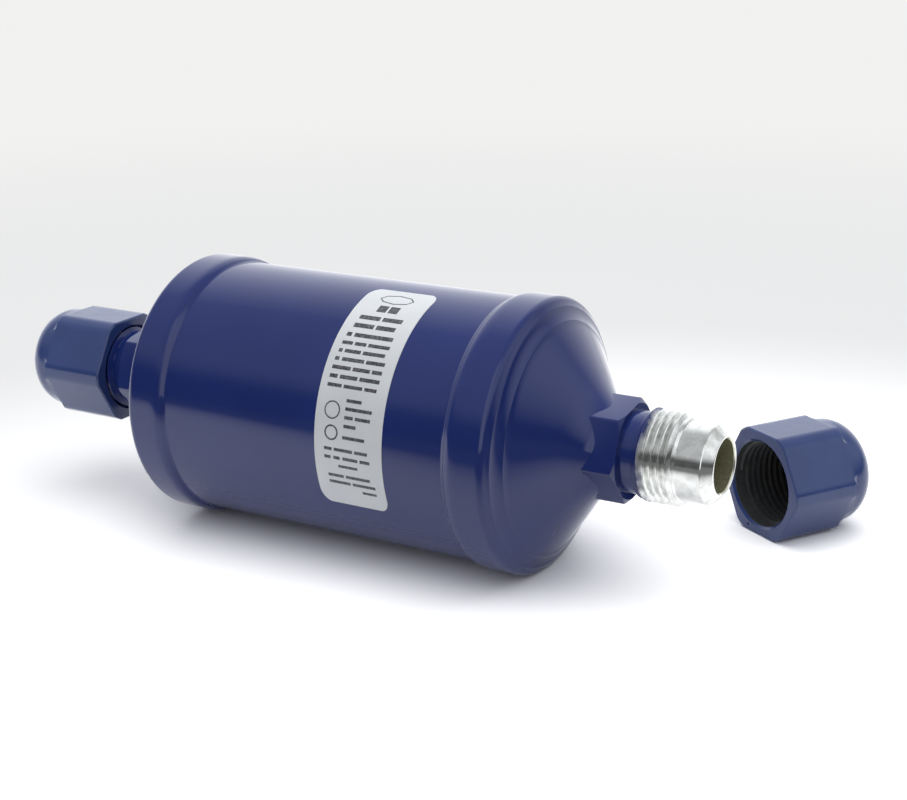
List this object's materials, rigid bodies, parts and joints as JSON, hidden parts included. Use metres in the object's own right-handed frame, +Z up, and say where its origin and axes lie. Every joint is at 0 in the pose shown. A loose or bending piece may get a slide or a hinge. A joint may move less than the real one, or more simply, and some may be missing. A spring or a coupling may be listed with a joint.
{
  "type": "filter drier",
  "caption": "Painted cylindrical liquid line filter drier with threaded flare fittings, a wrapped label and hexagon screw caps over the fittings.",
  "frame": {"origin": "on the shell's axis, half way between the open lips of the two end cups", "axes": "+X along the shell's axis in the direction of flow, out of the open outlet fitting; +Z up, with the drier lying on its side"},
  "size_m": [0.2184, 0.1073, 0.0683],
  "materials": {
    "shell_paint": "glossy blue powder coat with a light orange peel",
    "plated_fitting": "bright zinc-plated turned steel",
    "braze_alloy": "dull brazed fillet",
    "label_film": "satin white printed film",
    "spring_steel": "drawn flat wire",
    "plate_steel": "pressed perforated sheet",
    "glass_fibre": "bonded glass fibre pad",
    "desiccant_beads": "packed porous beads",
    "screen_wire": "fine woven wire",
    "cap_plastic": "moulded blue plastic, semi-gloss",
    "seal_rubber": "black moulded rubber"
  },
  "bodies": {
    "drier": {"shell_tube": "shell_paint", "inlet_end_cup": "shell_paint", "outlet_end_cup": "shell_paint", "inlet_lip_weld": "shell_paint", "outlet_lip_weld": "shell_paint", "inlet_flare_fitting": "plated_fitting", "outlet_flare_fitting": "plated_fitting", "inlet_braze_ring": "braze_alloy", "outlet_braze_ring": "braze_alloy", "rating_label": "label_film", "compression_spring": "spring_steel", "inlet_pressure_plate": "plate_steel", "inlet_filter_pad": "glass_fibre", "desiccant_bed": "desiccant_beads", "outlet_filter_pad": "glass_fibre", "outlet_mesh_screen": "screen_wire", "outlet_support_plate": "plate_steel", "outlet_cap": "cap_plastic", "outlet_cap_seal": "seal_rubber"},
    "inlet_seal": {"inlet_cap_seal": "seal_rubber"},
    "inlet_cap": {"inlet_cap": "cap_plastic"}
  },
  "joints": [
    {"name": "inlet_cap_travel", "type": "slide", "parent": "drier", "child": "inlet_seal", "axis": [-1, 0, 0], "range_m": [0, 0.0096]},
    {"name": "inlet_cap_turn", "type": "hinge", "parent": "inlet_seal", "child": "inlet_cap", "pos_m": [-0.07834, 0, 0], "axis": [-1, 0, 0], "range_deg": [0, 1885]}
  ],
  "couplings": [
    {"joint": "inlet_cap_travel", "follows": "inlet_cap_turn", "m_per_rad": 0.00028875}
  ]
}
